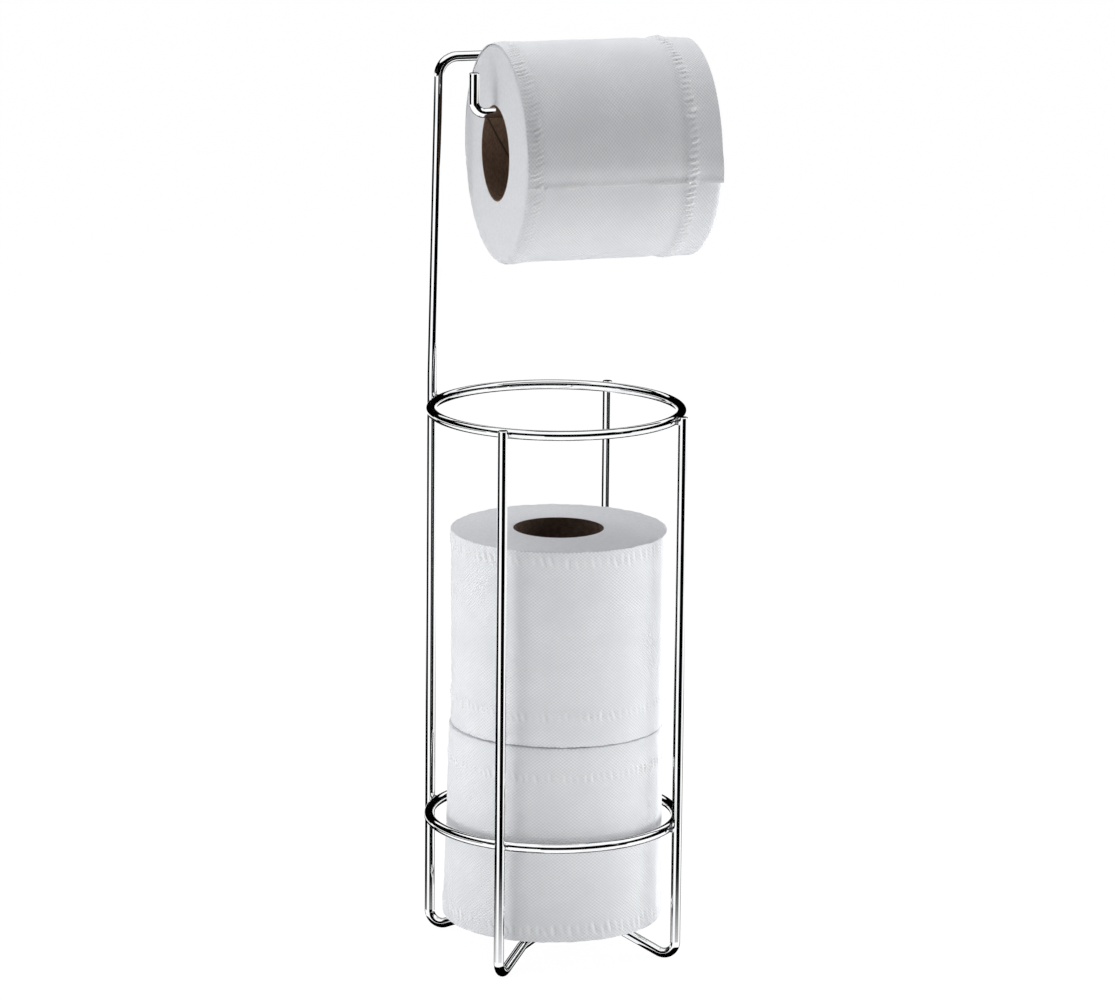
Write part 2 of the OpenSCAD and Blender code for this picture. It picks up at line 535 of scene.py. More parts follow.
@dataclass(frozen=True)
class WeldBead(Finish):
    """Plated weld bead, duller and darker than the wire, with a rippled skin; its dark colour is
    painted shade at the joints, deepest in the ripples' pits.
    """

    name: str = "plated_weld_painted_shade"
    crest: Colour = (0.34, 0.345, 0.36, 1)
    pit_painted_shade: Colour = (0.06, 0.06, 0.065, 1)
    ripple_scale: float = 1400
    bump_strength: float = 0.6
    bump_depth: float = 0.2

    def make(self) -> bpy.types.Material:
        """Builds the material.

        Returns:
            The material.
        """
        material, graph, shader = self.open()
        place = graph.add("TexCoord").outputs["Object"]
        ripple = graph.noise(place, self.ripple_scale, 3)
        mask = graph.span(ripple, 0.35, 0.62, 0, 1)
        # Painted shade: the weld is coloured dark, darkest in the ripples' pits.
        graph.feed(shader.inputs["Base Color"], graph.mix(mask, self.pit_painted_shade, self.crest))
        shader.inputs["Metallic"].default_value = 1
        graph.feed(shader.inputs["Roughness"], graph.span(ripple, 0.3, 0.7, 0.42, 0.2))
        self.bump(graph, shader, ripple)
        return material


@dataclass(frozen=True)
class EmbossedTissue(Finish):
    """Soft white tissue, embossed with staggered dots that follow the sheet, with painted shade
    in the dots' hollows.
    """

    name: str = "embossed_tissue"
    crest: Colour = (0.9, 0.907, 0.926, 1)
    # painted shade: the colour of the emboss's hollows
    hollow_painted_shade: Colour = (0.7, 0.715, 0.75, 1)
    speck: Colour = (0.74, 0.75, 0.775, 1)
    # painted highlight of the ticks' ridges and the torn edge, and painted shade of the ticks'
    # dents
    ridge_painted_highlight: Colour = (0.96, 0.962, 0.968, 1)
    dent_painted_shade: Colour = (0.58, 0.595, 0.63, 1)
    along: float = 1.68
    around: float = 1.07
    fibre_scale: float = 2.6
    fibre_stretch: float = 2.5
    fibre_height: float = 0.3
    fleck_share: float = 0.22
    wear_scale: float = 0.05
    least_wear: float = 0.55
    gloss: float = 0.18
    bump_strength: float = 0.9
    bump_depth: float = 0.22

    def make(self) -> bpy.types.Material:
        """Builds the material.

        Returns:
            The material.
        """
        material, graph, shader = self.open()
        sheet = graph.add("UVMap", uv_map=SHEET_MAP).outputs[0]
        dots = graph.group(
            Effects.emboss(), Vector=sheet, Along=self.along, Around=self.around
        ).outputs["Height"]
        fibres = graph.group(
            Effects.fibres(), Vector=sheet, Scale=self.fibre_scale, Stretch=self.fibre_stretch
        )
        worn = graph.span(graph.noise(sheet, self.wear_scale, 3), 0.3, 0.7, self.least_wear, 1)
        pressed = graph.math("MULTIPLY", dots, worn)
        # Painted shade: the emboss's hollows are coloured darker than its crests.
        tone = graph.mix(pressed, self.hollow_painted_shade, self.crest)
        lift = graph.add("Attribute", attribute_name=PAINTED_LIGHT_LAYER).outputs["Fac"]
        # Painted highlight where the layer says a point is lifted, painted shade where it is
        # dented.
        tone = graph.mix(graph.span(lift, 0.02, 0.8, 0, 0.9), tone, self.ridge_painted_highlight)
        tone = graph.mix(graph.span(lift, -0.22, -0.02, 0.5, 0), tone, self.dent_painted_shade)
        flecks = graph.math("MULTIPLY", fibres.outputs["Mask"], self.fleck_share)
        graph.feed(shader.inputs["Base Color"], graph.mix(flecks, tone, self.speck))
        graph.feed(shader.inputs["Roughness"], graph.span(pressed, 0, 1, 0.97, 0.86))
        shader.inputs["Specular IOR Level"].default_value = self.gloss
        fluff = fibres.outputs["Height"]
        self.bump(graph, shader, graph.math("MULTIPLY_ADD", fluff, self.fibre_height, pressed))
        return material


@dataclass(frozen=True)
class CutLayers(Finish):
    """Cut edge of the wound tissue, where the layers show as fine rings."""

    name: str = "cut_layers"
    light: Colour = (0.84, 0.85, 0.875, 1)
    dark: Colour = (0.74, 0.752, 0.785, 1)
    layer_scale: float = 2.2
    layer_stretch: float = 14
    fluff_scale: float = 420
    fluff_share: float = 0.3
    contrast: float = 0.77
    gloss: float = 0.12
    bump_strength: float = 0.5
    bump_depth: float = 0.15

    def make(self) -> bpy.types.Material:
        """Builds the material.

        Returns:
            The material.
        """
        material, graph, shader = self.open()
        face = graph.add("UVMap", uv_map=SHEET_MAP).outputs[0]
        layers = graph.group(
            Effects.fibres(), Vector=face, Scale=self.layer_scale, Stretch=self.layer_stretch
        ).outputs["Height"]
        fluff = graph.noise(graph.add("TexCoord").outputs["Object"], self.fluff_scale, 3)
        rings = graph.span(layers, 0.55, 1.15, 0, 1)
        clouds = graph.span(fluff, 0.3, 0.7, 0, 1)
        cloudy = graph.math("MULTIPLY_ADD", clouds, self.fluff_share, rings)
        shade = graph.math("MULTIPLY", cloudy, self.contrast)
        graph.feed(shader.inputs["Base Color"], graph.mix(shade, self.dark, self.light))
        graph.feed(shader.inputs["Roughness"], graph.span(fluff, 0.3, 0.7, 0.9, 1))
        shader.inputs["Specular IOR Level"].default_value = self.gloss
        self.bump(graph, shader, graph.math("ADD", layers, fluff))
        return material


@dataclass(frozen=True)
class CoreBoard(Finish):
    """Grey-brown cardboard of a core, with fibres, specks and the dark line of its seam."""

    name: str = "core_board"
    board: Colour = (0.135, 0.082, 0.053, 1)
    fibre: Colour = (0.19, 0.122, 0.083, 1)
    speck: Colour = (0.05, 0.032, 0.022, 1)
    fibre_scale: float = 1.3
    fibre_stretch: float = 3
    speck_scale: float = 0.9
    seam_core: float = 0.0045
    seam_fade: float = 0.0085
    gloss: float = 0.25
    bump_strength: float = 0.5
    bump_depth: float = 0.1

    def make(self) -> bpy.types.Material:
        """Builds the material.

        Returns:
            The material.
        """
        material, graph, shader = self.open()
        board = graph.add("UVMap", uv_map=SHEET_MAP).outputs[0]
        place = graph.add("SeparateXYZ", board)
        fibres = graph.group(
            Effects.fibres(), Vector=board, Scale=self.fibre_scale, Stretch=self.fibre_stretch
        ).outputs["Height"]
        specks = graph.span(graph.noise(board, self.speck_scale, 1), 0.69, 0.74, 0, 0.8)
        turns = graph.math("DIVIDE", place.outputs[0], CORE_GIRTH)
        climb = graph.math("DIVIDE", place.outputs[1], SEAM_LEAD)
        from_seam = graph.math("PINGPONG", graph.math("ADD", turns, climb), 0.5)
        slit = graph.span(from_seam, self.seam_core, self.seam_fade, 0.95, 0)
        dark = graph.math("MAXIMUM", specks, slit)
        shade = graph.span(fibres, 0.6, 1.1, 0, 1)
        tone = graph.mix(shade, self.board, self.fibre)
        graph.feed(shader.inputs["Base Color"], graph.mix(dark, tone, self.speck))
        graph.feed(shader.inputs["Roughness"], graph.span(shade, 0, 1, 0.9, 0.72))
        shader.inputs["Specular IOR Level"].default_value = self.gloss
        self.bump(graph, shader, fibres)
        return material


def hand_over(piece: bpy.types.Object, body: Body, node: str) -> None:
    """Puts a finished piece on its body in place of its CAD node, and reports it.

    Args:
        piece: The finished piece.
        body: The body that it rides on.
        node: The CAD node that it stands for.
    """
    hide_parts(node)
    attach(piece, body.value)
    low, high = (np.array(corner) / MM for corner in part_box(node))
    co = read_points(piece.data)
    over = max(max(low - co.min(0)), max(co.max(0) - high))
    piece.data.calc_loop_triangles()
    triangles = len(piece.data.loop_triangles)
    log.info("%s: %d triangles, %.2f mm over its node's box", piece.name, triangles, over)


@dataclass
class BentWire:
    """One wire, bent through corner points, with its ends cut and eased."""

    name: str
    node: str
    corners: list[Vector]
    radii: list[float]
    finish: bpy.types.Material
    sides: int = 40
    ease: float = 0.35
    hold: float = 0.5
    step_angle: float = math.radians(5)

    def directions(self) -> list[Vector]:
        """Gives the direction of each straight run."""
        return [(b - a).normalized() for a, b in zip(self.corners, self.corners[1:])]

    def build(self) -> bpy.types.Object:
        """Extrudes the runs, spins the bends and closes the ends.

        Returns:
            The finished wire.
        """
        runs = self.directions()
        at = self.corners[0].copy()
        small = WIRE_R - self.ease
        piece = Bench.start_circle(self.name, at, runs[0], small, self.sides)
        at += runs[0] * self.ease
        Bench.extrude(runs[0] * self.ease)
        Bench.resize(WIRE_R / small, at)
        for index, run in enumerate(runs):
            corner = self.corners[index + 1]
            if index == len(runs) - 1:
                self.run_straight(run * ((corner - at).dot(run) - self.ease))
                break
            following = runs[index + 1]
            turn = run.angle(following)
            taken = self.radii[index] * math.tan(turn / 2)
            start = corner - run * taken
            self.run_straight(start - at)
            inward = (following - run * run.dot(following)).normalized()
            steps = max(4, round(turn / self.step_angle))
            middle = start + inward * self.radii[index]
            Bench.spin(turn, steps, middle, run.cross(following))
            at = corner + following * taken
        end = self.corners[-1]
        Bench.extrude(runs[-1] * self.ease)
        Bench.resize(small / WIRE_R, end)
        Bench.close()
        self.cap_ends()
        Bench.smooth(piece, 35)
        piece.data.materials.append(self.finish)
        hand_over(piece, Body.FRAME, self.node)
        return piece

    def run_straight(self, run: Vector) -> None:
        """Extrudes a straight run, with loops near its ends that keep its shading true."""
        hold = run.normalized() * self.hold
        for step in (hold, run - hold * 2, hold):
            Bench.extrude(step)

    def cap_ends(self) -> None:
        """Fills both cut ends of the wire."""
        bpy.ops.object.mode_set(mode="EDIT")
        bpy.ops.mesh.select_all(action="DESELECT")
        bpy.ops.mesh.select_non_manifold()
        bpy.ops.mesh.fill_holes(sides=0)
        bpy.ops.mesh.select_all(action="SELECT")
        bpy.ops.mesh.normals_make_consistent(inside=False)
        bpy.ops.object.mode_set(mode="OBJECT")


@dataclass
class Stand:
    """The chromed stand: two bent wires, two rings and their welds."""

    chrome: bpy.types.Material
    weld: bpy.types.Material
    tip_reach: float = 43.8
    tip_rise: float = 20
    hook_reach: float = 75.3
    mast_lean: float = 3
    lean_start_z: float = 290
    hook_radii: tuple[float, ...] = (5.7, 8, 8, 9.5, 100)
    bearer: tuple[float, float] = (64, 14.3)
    cross: tuple[float, float] = (76, 9.1)
    ring_steps: int = 180
    ring_sides: int = 40

    def foot_corner(self, level_w: float, level_z: float) -> float:
        """Gives the height at which a floor wire's slope meets the line of the leg.

        Args:
            level_w: Length of the wire's level stretch.
            level_z: Height of that stretch.

        Returns:
            The height of the corner.
        """
        run = LEG_R - FOOT_BEND_R - level_w / 2
        rise = level_z - FOOT_Z - FOOT_BEND_R
        slope = math.asin(FOOT_BEND_R / math.hypot(run, rise)) + math.atan2(rise, run)
        return level_z - (LEG_R - level_w / 2) * math.tan(slope)

    def floor_run(self, level: tuple[float, float]) -> list[Vector]:
        """Gives the corners of a wire from one foot to the other along X.

        Args:
            level: Length and height of the wire's level stretch.

        Returns:
            The four corners.
        """
        level_w, level_z = level
        foot = self.foot_corner(level_w, level_z)
        ends = ((-LEG_R, foot), (-level_w / 2, level_z), (level_w / 2, level_z), (LEG_R, foot))
        return [Vector((x, 0, z)) for x, z in ends]

    def bend_mast_wire(self) -> None:
        """Bends the wire that is hook, mast, floor bearer and right leg."""
        foot = Vector((-LEG_R, 0, 0))
        side = foot.dot(HOOK_SIDE)
        head = foot + HOOK_DIR * self.mast_lean + Vector((0, 0, UPPER_RUN_Z))
        corners = [
            on_hook(-self.tip_reach, 0, ROLL_BAR_Z + self.tip_rise),
            on_hook(-self.tip_reach, 0, ROLL_BAR_Z),
            on_hook(self.hook_reach, 0, ROLL_BAR_Z),
            on_hook(self.hook_reach, side, UPPER_RUN_Z),
            head,
            foot + Vector((0, 0, self.lean_start_z)),
            *self.floor_run(self.bearer),
            Vector((LEG_R, 0, LEG_TOP_Z)),
        ]
        radii = [*self.hook_radii, *[FOOT_BEND_R] * 4]
        BentWire("mast_and_hook", "mast_wire", corners, radii, self.chrome).build()

    def bend_cross_wire(self) -> None:
        """Bends the wire that is the front leg, the lower floor wire and the back leg."""
        tops = [Vector((-LEG_R, 0, LEG_TOP_Z)), Vector((LEG_R, 0, LEG_TOP_Z))]
        along_x = [tops[0], *self.floor_run(self.cross), tops[1]]
        quarter = Matrix.Rotation(math.pi / 2, 3, "Z")
        corners = [quarter @ p for p in along_x]
        radii = [FOOT_BEND_R] * 4
        BentWire("front_and_back_legs", "cross_wire", corners, radii, self.chrome).build()

    def roll_ring(self, name: str, node: str, z: float) -> None:
        """Spins the section of a ring right round and closes its seam.

        Args:
            name: Name of the ring.
            node: The CAD node that it stands for.
            z: Height of its centreline.
        """
        at = Vector((RING_R, 0, z))
        piece = Bench.start_circle(name, at, Vector((0, 1, 0)), WIRE_R, self.ring_sides)
        Bench.spin(FULL_TURN, self.ring_steps, Vector((0, 0, z)), Vector((0, 0, 1)))
        Bench.close()
        Bench.smooth(piece, 60)
        piece.data.materials.append(self.chrome)
        hand_over(piece, Body.FRAME, node)

    def dress_welds(self) -> None:
        """Gives the CAD nodes of the welds their plated finish."""
        for node in ("upper_ring_welds", "lower_ring_welds", "floor_weld"):
            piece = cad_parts[node]
            piece.data.materials.clear()
            piece.data.materials.append(self.weld)
            log.info("%s: dressed", node)

    def build(self) -> None:
        """Builds the whole stand."""
        self.bend_mast_wire()
        self.bend_cross_wire()
        self.roll_ring("upper_basket_ring", "upper_ring", UPPER_RING_Z)
        self.roll_ring("lower_basket_ring", "lower_ring", LOWER_RING_Z)
        self.dress_welds()


@dataclass(frozen=True)
class Crimp:
    """A band of oblique pressed ticks that holds the plies of the sheet together.

    It lies at a distance along the roll from its first end, and has half its width, the pitch,
    slant and height of its ticks, how far the band swells, and a groove beside it.
    """

    middle: float
    half: float
    pitch: float
    slant: float
    height: float
    swell: float = 0
    groove: float = 0
    groove_at: float = 0
    groove_half: float = 1.6
    swell_reach: float = 1.7
    power: Limits = (0.45, 1.25)
    stray: float = 0.14
    fray: float = 0.4
    skew: float = 0.12
    tick_half: float = 0.23
    dent: float = 0.5
    dent_at: float = 0.36
    dent_half: float = 0.14

    def turned_over(self) -> "Crimp":
        """Gives the same band on a roll that lies the other way up."""
        return replace(self, middle=ROLL_W - self.middle, groove_at=ROLL_W - self.groove_at)

    def relief(
        self, around: np.ndarray, along: np.ndarray, girth: float, seed: int
    ) -> tuple[np.ndarray, np.ndarray]:
        """Gives how far the band lifts each point of the sheet.

        Args:
            around: Distance of each point around the roll.
            along: Distance of each point along the roll.
            girth: The roll's girth.
            seed: Seed of the ticks' small differences.

        Returns:
            The lift of each point by the ticks, and by the band's swelling and groove.
        """
        count = round(girth / self.pitch)
        chance = np.random.default_rng(seed)
        power = chance.uniform(*self.power, count)
        shift = chance.uniform(-self.stray, self.stray, count)
        reach = chance.uniform(-self.fray, self.fray, count)
        turn = chance.uniform(-self.skew, self.skew, count)
        out = along - self.middle
        place = (around + self.slant * out) / girth * count
        cell = np.floor(place).astype(int) % count
        part = place - np.floor(place) - 0.5 - shift[cell] + turn[cell] * out / self.half
        dent = self.dent * np.exp(-(((part - self.dent_at) / self.dent_half) ** 2))
        tick = np.exp(-((part / self.tick_half) ** 2)) - dent
        mask = np.exp(-((out / self.half - reach[cell]) ** 4))
        band = np.exp(-((out / (self.half * self.swell_reach)) ** 4))
        dip = np.exp(-(((along - self.groove_at) / self.groove_half) ** 2))
        return self.height * power[cell] * tick * mask, self.swell * band - self.groove * dip


@dataclass(frozen=True)
class Slump:
    """How far the side of a standing roll gives way at its bottom and its top, in millimetres."""

    bottom_swell: float = 0
    bottom_lean: float = 0
    top_swell: float = 0
    top_lean: float = 0
    lean_angle: float = math.radians(22.5)

    def lift(self, angle: np.ndarray, along: np.ndarray) -> np.ndarray:
        """Gives how far the side stands out.

        Args:
            angle: Angle of each point around the roll.
            along: Height of each point in the roll.

        Returns:
            The lift of each point of the side.
        """
        up = along / ROLL_W
        leaning = np.cos(angle - self.lean_angle)
        bottom = self.bottom_swell + self.bottom_lean * leaning
        return bottom * (1 - up) + (self.top_swell + self.top_lean * leaning) * up


@dataclass
class WoundRoll:
    """The wound paper of one roll: its side, its soft edges, its cut ends and its bore."""

    name: str
    node: str
    body: Body
    place: Matrix
    radius: float
    bore: float
    lie: Lie
    sheet_finish: bpy.types.Material
    end_finish: bpy.types.Material
    seed: int
    crimps: list[Crimp] = field(default_factory=list)
    edge: float = 3.0
    rim: float = 3.0
    slump: Slump = Slump()
    columns: int = 576
    row_step: float = 5
    band_step: float = 0.6
    least_step: float = 0.4
    end_rings: int = 15
    edge_turns: tuple[int, ...] = (18, 36, 54, 72, 90)
    layers_per_mm: float = 1.1
    layer_depth: float = 0.07
    scallop_depth: float = 0.16
    settled: float = 0.35

    def bands(self) -> list[Crimp]:
        """Gives the crimped bands as the roll lies."""
        over = self.lie is Lie.UPSIDE_DOWN
        return [crimp.turned_over() if over else crimp for crimp in self.crimps]

    def side_rows(self) -> list[float]:
        """Gives the heights of the side's rows, close together in the crimped bands.

        Returns:
            The heights from the first end to the last.
        """
        rows = set(np.arange(self.rim, ROLL_W - self.rim, self.row_step).round(2).tolist())
        for crimp in self.bands():
            low = max(self.rim, crimp.middle - crimp.half * 1.8)
            high = min(ROLL_W - self.rim, crimp.middle + crimp.half * 1.8)
            rows |= set(np.arange(low, high, self.band_step).round(2).tolist())
        kept: list[float] = []
        for z in sorted(rows):
            if not kept or z - kept[-1] > self.least_step:
                kept.append(z)
        return kept[1:]

    def profile(self) -> Profile:
        """Draws the roll's half section as a closed line from the bore's first edge.

        Returns:
            The points as radius and height.
        """
        centre = self.radius - self.edge
        first = [(r, 0.0) for r in np.linspace(self.bore, centre, self.end_rings).tolist()]
        turn = [math.radians(a) for a in self.edge_turns]
        rise = [
            (centre + self.edge * math.sin(a), self.rim - self.rim * math.cos(a)) for a in turn
        ]
        side = [(self.radius, z) for z in self.side_rows()]
        half = first + rise
        last = [(r, ROLL_W - z) for r, z in reversed(half)]
        return half + side + last + [half[0]]

    def build(self) -> bpy.types.Object:
        """Spins the half section, presses the sheet and closes the roll.

        Returns:
            The finished roll.
        """
        line = self.profile()
        piece = Bench.start_point(self.name, Vector((line[0][0], 0, line[0][1])))
        Bench.draw(line)
        Bench.turn_round(FULL_TURN, self.columns, 4)
        Bench.close()
        self.press(piece.data)
        self.map_sheet(piece.data)
        self.dress(piece.data)
        Bench.smooth(piece, 60)
        return piece

    def press(self, mesh: bpy.types.Mesh) -> None:
        """Moves the points to the soft, slightly uneven shape of a wound roll.

        Args:
            mesh: The roll's mesh, in its own frame.
        """
        co = read_points(mesh)
        radius = np.hypot(co[:, 0], co[:, 1])
        angle = np.arctan2(co[:, 1], co[:, 0])
        along = co[:, 2]
        outer = smooth_step(self.radius - self.edge * 1.5, self.radius - self.edge * 0.3, radius)
        ticks, slow = self.crimped(angle, along)
        # The ticks' height also sets their painted highlight and painted shade.
        write_painted_light(mesh, ticks)
        lift = outer * (self.uneven(angle, along) + ticks + slow)
        share = (radius - self.bore) / (self.radius - self.bore)
        lift += share * self.slump.lift(angle, along)
        co[:, 2] += self.end_relief(radius, angle, along, outer)
        co[:, :2] *= ((radius + lift) / radius)[:, None]
        write_points(mesh, co)

    def end_relief(
        self, radius: np.ndarray, angle: np.ndarray, along: np.ndarray, outer: np.ndarray
    ) -> np.ndarray:
        """Gives how far the cut ends' layers stand in or out, and the waves of their rims.

        Args:
            radius: Distance of each point from the roll's axis.
            angle: Angle of each point around the roll.
            along: Distance of each point along it.
            outer: How much each point belongs to the side.

        Returns:
            The move of each point along the roll.
        """
        levels = np.random.default_rng(self.seed + 50).uniform(-1, 1, 400)
        layer = (radius * self.layers_per_mm).astype(int)
        off_middle = np.abs(along - ROLL_W / 2)
        end_mask = smooth_step(self.bore, self.bore + 3, radius) * (1 - outer)
        wobble = 1 + 0.6 * np.sin(angle * 2 + levels[layer + 100] * 3)
        sink = self.layer_depth * levels[layer] * wobble * end_mask
        facing = np.where(along < ROLL_W / 2, 1, -1) * (off_middle > ROLL_W / 2 - 0.1)
        rim = outer * smooth_step(ROLL_W / 2 - 5, ROLL_W / 2, off_middle)
        scallop = np.sin(angle * 34 + levels[7] * 9) * np.sin(angle * 13 + levels[8] * 9)
        return sink * facing + rim * self.scallop_depth * scallop

    def uneven(self, angle: np.ndarray, along: np.ndarray) -> np.ndarray:
        """Gives the slow unevenness of the side.

        Args:
            angle: Angle of each point around the roll.
            along: Distance of each point along it.

        Returns:
            The lift of each point.
        """
        phase = np.random.default_rng(self.seed).uniform(0, FULL_TURN, 8)
        slow = 0.16 * np.sin(2 * angle + phase[0]) + 0.1 * np.sin(3 * angle + phase[1])
        bulge = 0.1 * np.sin(5 * angle + along * 0.05 + phase[2])
        ripple = 0.05 * np.sin(9 * angle - along * 0.11 + phase[3])
        bands = 0.09 * np.sin(along * 0.19 + phase[4] + 0.5 * np.sin(angle + phase[5]))
        return slow + bulge + ripple + bands - self.settled

    def crimped(self, angle: np.ndarray, along: np.ndarray) -> tuple[np.ndarray, np.ndarray]:
        """Gives the relief of all the crimped bands.

        Args:
            angle: Angle of each point around the roll.
            along: Distance of each point along it.

        Returns:
            The lift of each point by the ticks, and by the bands' swellings and grooves.
        """
        girth = FULL_TURN * self.radius
        around = (angle % FULL_TURN) * self.radius
        ticks, slow = np.zeros_like(angle), np.zeros_like(angle)
        for number, crimp in enumerate(self.bands()):
            fine, coarse = crimp.relief(around, along, girth, self.seed * 10 + number)
            ticks += fine
            slow += coarse
        return ticks, slow

    def map_sheet(self, mesh: bpy.types.Mesh) -> None:
        """Maps the sheet in millimetres around and along, and the ends around and outwards.

        Args:
            mesh: The roll's mesh, in its own frame.
        """
        quads, angle = wrapped_quads(mesh)
        radius = np.hypot(quads[:, :, 0], quads[:, :, 1])
        flat = np.ptp(quads[:, :, 2], axis=1) < self.least_step - 0.05
        write_map(mesh, angle * self.radius, np.where(flat[:, None], radius, quads[:, :, 2]))
        middle = radius.mean(1) - self.slump.lift(angle.mean(1), quads[:, :, 2].mean(1))
        ends = (middle < self.radius - self.edge * 0.75).astype(np.int32)
        mesh.polygons.foreach_set("material_index", ends)

    def dress(self, mesh: bpy.types.Mesh) -> None:
        """Gives the roll its two finishes."""
        mesh.materials.append(self.sheet_finish)
        mesh.materials.append(self.end_finish)

    def deliver(self, piece: bpy.types.Object) -> None:
        """Puts the finished roll in its place and hands it over."""
        piece.data.transform(self.place)
        piece.data.update()
        piece.visible_glossy = False
        hand_over(piece, self.body, self.node)


@dataclass
class LooseSheet:
    """The loose end of the hung roll's sheet, cut at the front along its perforation."""

    roll: WoundRoll
    start_angle: float = math.radians(-10)
    end_angle: float = math.radians(190)
    thickness: float = 0.22
    steps: int = 320
    seed: int = 7
    teeth: int = 24
    tooth_half: float = 0.3
    tooth_rise: float = 1.9
    lip_w: float = 1.8
    pressed: float = 0.45
    loose: float = 0.6
    hump: float = 0.55
    hump_at: float = 9
    hump_half: float = 5.5
    corner_along: float = 88
    corner_w: float = 17
    corner_rise: float = 1.25

    def build(self) -> bpy.types.Object:
        """Spins the sheet, lifts its cut edge and gives it its thickness.

        Returns:
            The finished sheet, in the roll's own frame.
        """
        rows = [0.4, *[z for z in self.roll.side_rows() if 1 < z < 99.2], 99.6]
        radius = self.roll.radius
        line = [(radius, z) for z in rows]
        piece = Bench.start_point("loose_sheet", Vector((radius, 0, rows[0])))
        Bench.draw(line)
        bpy.ops.object.mode_set(mode="OBJECT")
        piece.data.transform(Matrix.Rotation(self.start_angle, 4, "Z"))
        bpy.ops.object.mode_set(mode="EDIT")
        bpy.ops.mesh.select_all(action="SELECT")
        Bench.turn_round(self.end_angle - self.start_angle, self.steps, 3)
        Bench.close()
        self.lay(piece.data)
        self.roll.map_sheet(piece.data)
        self.face_out(piece)
        self.thicken(piece)
        self.roll.dress(piece.data)
        return piece

    def lay(self, mesh: bpy.types.Mesh) -> None:
        """Lays the sheet on its roll, with a ragged edge and a lifted corner.

        Args:
            mesh: The sheet's mesh.
        """
        co = read_points(mesh)
        roll = self.roll
        angle = np.arctan2(co[:, 1], co[:, 0])
        angle = np.where(angle < self.start_angle - 0.1, angle + FULL_TURN, angle)
        along = co[:, 2]
        to_edge = (self.end_angle - angle) * roll.radius
        tooth = self.torn_teeth(along)
        lip = np.exp(-((to_edge / self.lip_w) ** 2))
        hump = np.exp(-(((to_edge - self.hump_at) / self.hump_half) ** 2))
        freed = smooth_step(0, 0.6, angle - self.start_angle)
        corner = smooth_step(self.corner_along, 99.6, along)
        corner *= 1 - smooth_step(0, self.corner_w, to_edge)
        ticks, slow = roll.crimped(angle, along)
        # Painted highlight along the torn edge, strongest on its teeth; this weight is not the
        # edge's real lift.
        write_painted_light(mesh, np.maximum(ticks, lip * (0.25 + 0.9 * tooth)))
        lift = roll.uneven(angle, along) + ticks + slow - self.pressed + self.loose * freed
        lift += self.hump * hump + lip * (0.1 + self.tooth_rise * tooth)
        middle = smooth_step(0, 2.4, along) * smooth_step(0, 2.4, ROLL_W - along)
        lift += self.corner_rise * corner - 0.5 * (1 - middle) * (1 - corner)
        radius = roll.radius + lift
        ragged = lip * (0.32 * np.sin(along * 1.9) * np.sin(along * 0.37 + 1) + 0.5 * tooth)
        turned = angle + ragged / roll.radius
        co[:, 0] = radius * np.cos(turned)
        co[:, 1] = radius * np.sin(turned)
        co[:, 2] += 0.3 * corner
        write_points(mesh, co)

    def torn_teeth(self, along: np.ndarray) -> np.ndarray:
        """Gives the small torn teeth of the perforated edge.

        Args:
            along: Distance of each point along the roll.

        Returns:
            The height of the teeth at each point, from 0 to 1.
        """
        power = np.random.default_rng(self.seed).uniform(0.0, 1.0, self.teeth)
        place = along / ROLL_W * self.teeth
        cell = np.clip(place.astype(int), 0, self.teeth - 1)
        return power[cell] * np.exp(-(((place - cell - 0.5) / self.tooth_half) ** 2))

    def face_out(self, piece: bpy.types.Object) -> None:
        """Turns the sheet's faces away from the roll's axis."""
        mesh = piece.data
        mesh.update()
        first = mesh.polygons[len(mesh.polygons) // 2]
        outwards = Vector((first.center.x, first.center.y, 0)).dot(first.normal) > 0
        if not outwards:
            Bench.pick(piece)
            bpy.ops.object.mode_set(mode="EDIT")
            bpy.ops.mesh.select_all(action="SELECT")
            bpy.ops.mesh.flip_normals()
            bpy.ops.object.mode_set(mode="OBJECT")

    def thicken(self, piece: bpy.types.Object) -> None:
        """Gives the sheet its thickness by a modifier and applies it."""
        Bench.pick(piece)
        wall = piece.modifiers.new("thickness", "SOLIDIFY")
        wall.thickness = self.thickness * MM
        wall.offset = 1
        bpy.ops.object.modifier_apply(modifier=wall.name)


